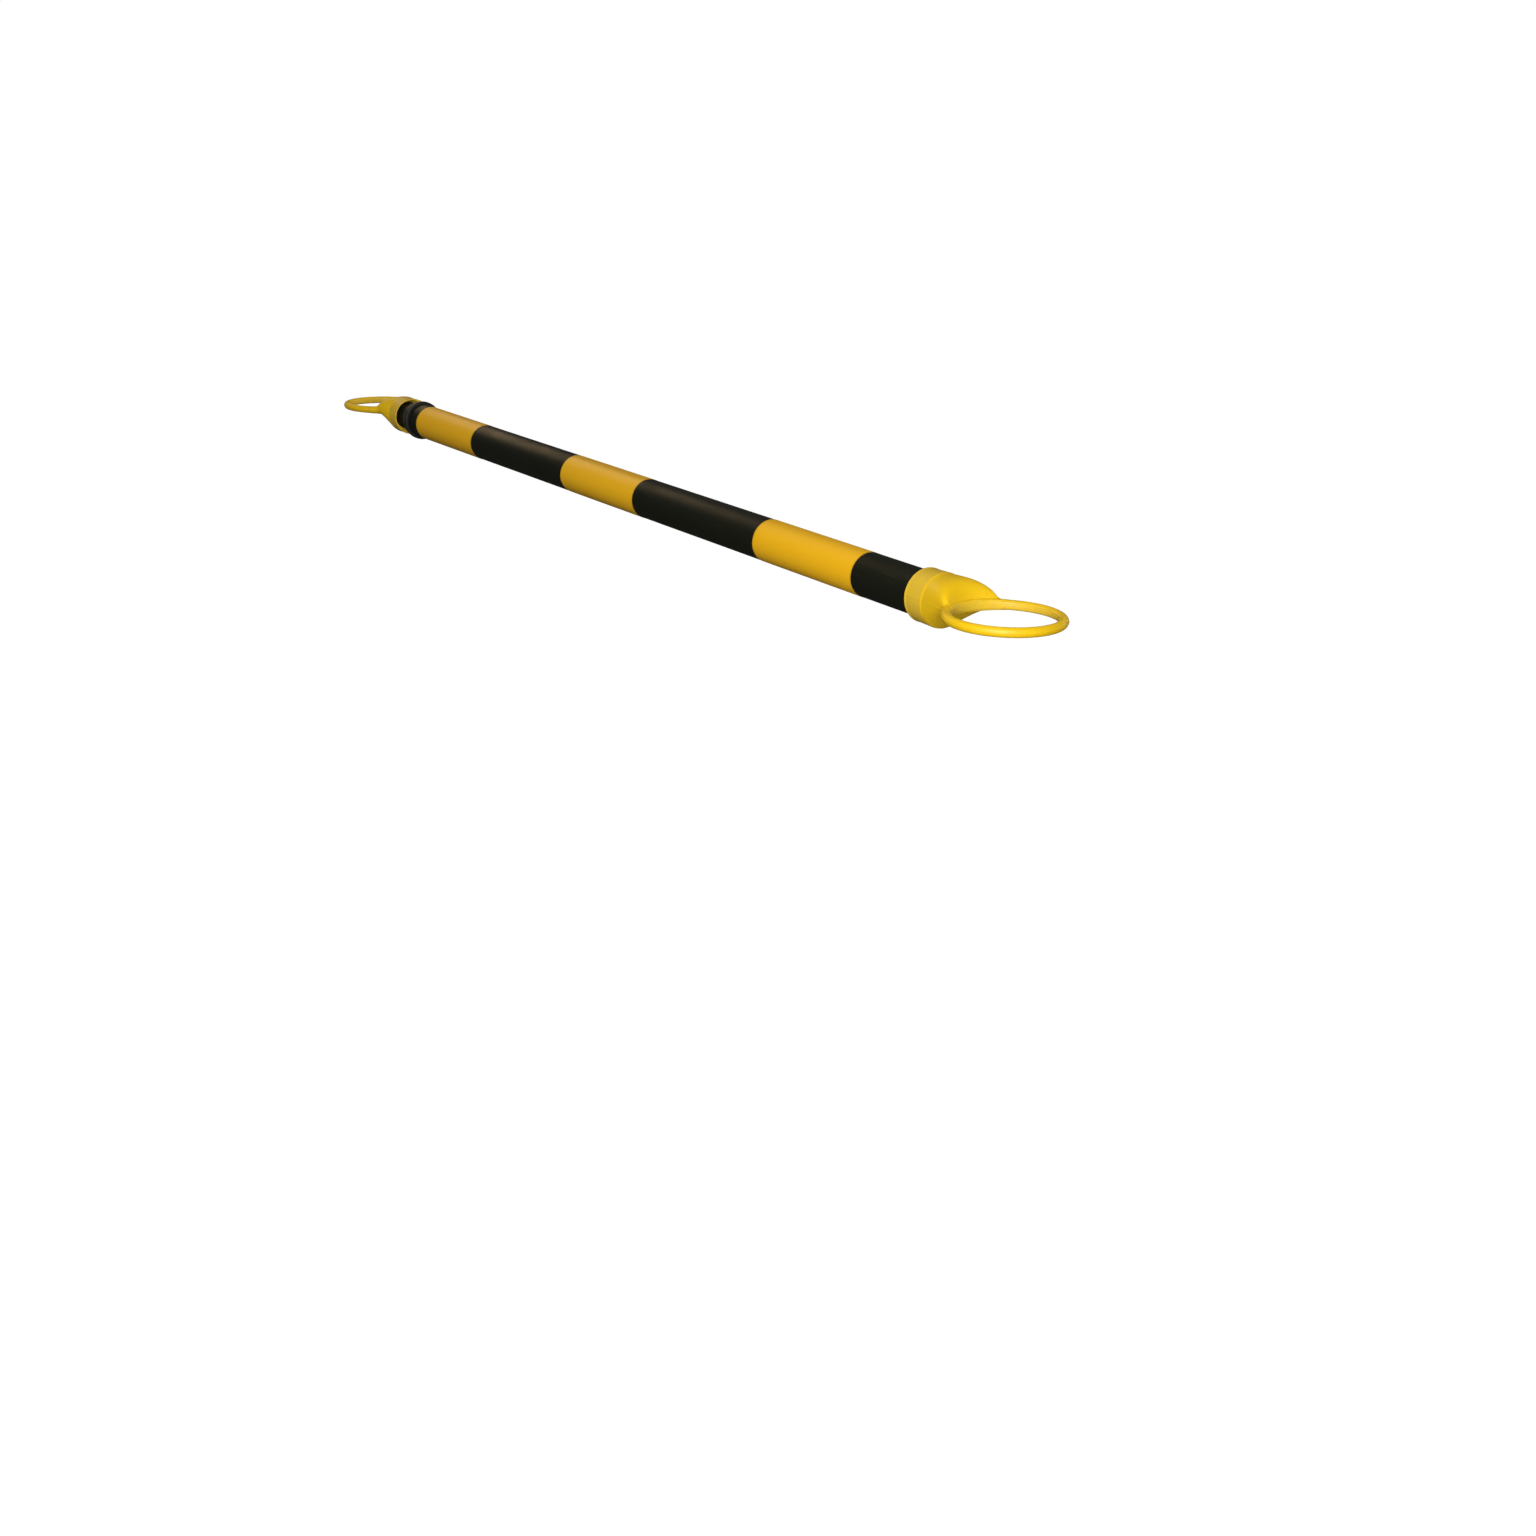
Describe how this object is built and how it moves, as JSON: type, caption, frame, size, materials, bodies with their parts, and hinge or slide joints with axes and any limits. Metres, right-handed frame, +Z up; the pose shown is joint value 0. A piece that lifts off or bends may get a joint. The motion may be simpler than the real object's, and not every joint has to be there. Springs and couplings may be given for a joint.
{
  "type": "cone bar",
  "caption": "Retractable cone bar: black telescoping tubes with yellow bands and a moulded yellow ring at each end that drops over a traffic cone.",
  "frame": {"origin": "centre of the bore of the ring on the outer tube, in the bar's upright mid-plane, 2.8 mm above the tubes' axis", "axes": "+X along the bar from the outer tube's ring to the sliding inner tube's ring, +Z up along the rings' bores"},
  "size_m": [1.296, 0.096, 0.0451],
  "materials": {
    "tube_black": "satin extruded",
    "band_yellow": "glossy film",
    "cap_yellow": "satin moulded",
    "collar_black": "fine grained",
    "bush_nylon": "waxy natural",
    "rivet_metal": "plain",
    "pin_steel": "plain"
  },
  "bodies": {
    "outer": {"outer_tube": "tube_black", "outer_band_near": "band_yellow", "outer_band_middle": "band_yellow", "outer_band_far": "band_yellow", "outer_ring_cap": "cap_yellow", "outer_cap_rivet": "rivet_metal", "mouth_collar": "collar_black"},
    "bush": {"stop_bush": "bush_nylon"},
    "inner": {"inner_tube": "tube_black", "inner_band_near": "band_yellow", "inner_band_far": "band_yellow", "stop_plug": "collar_black", "stop_plug_pin": "pin_steel", "inner_ring_cap": "cap_yellow", "inner_cap_rivet": "rivet_metal"}
  },
  "joints": [
    {"name": "extend", "type": "slide", "parent": "outer", "child": "bush", "axis": [1, 0, 0], "range_m": [-0.0195, 0.867]},
    {"name": "twist", "type": "hinge", "parent": "bush", "child": "inner", "pos_m": [0.2, 0, -0.0028], "axis": [1, 0, 0], "continuous": true}
  ]
}
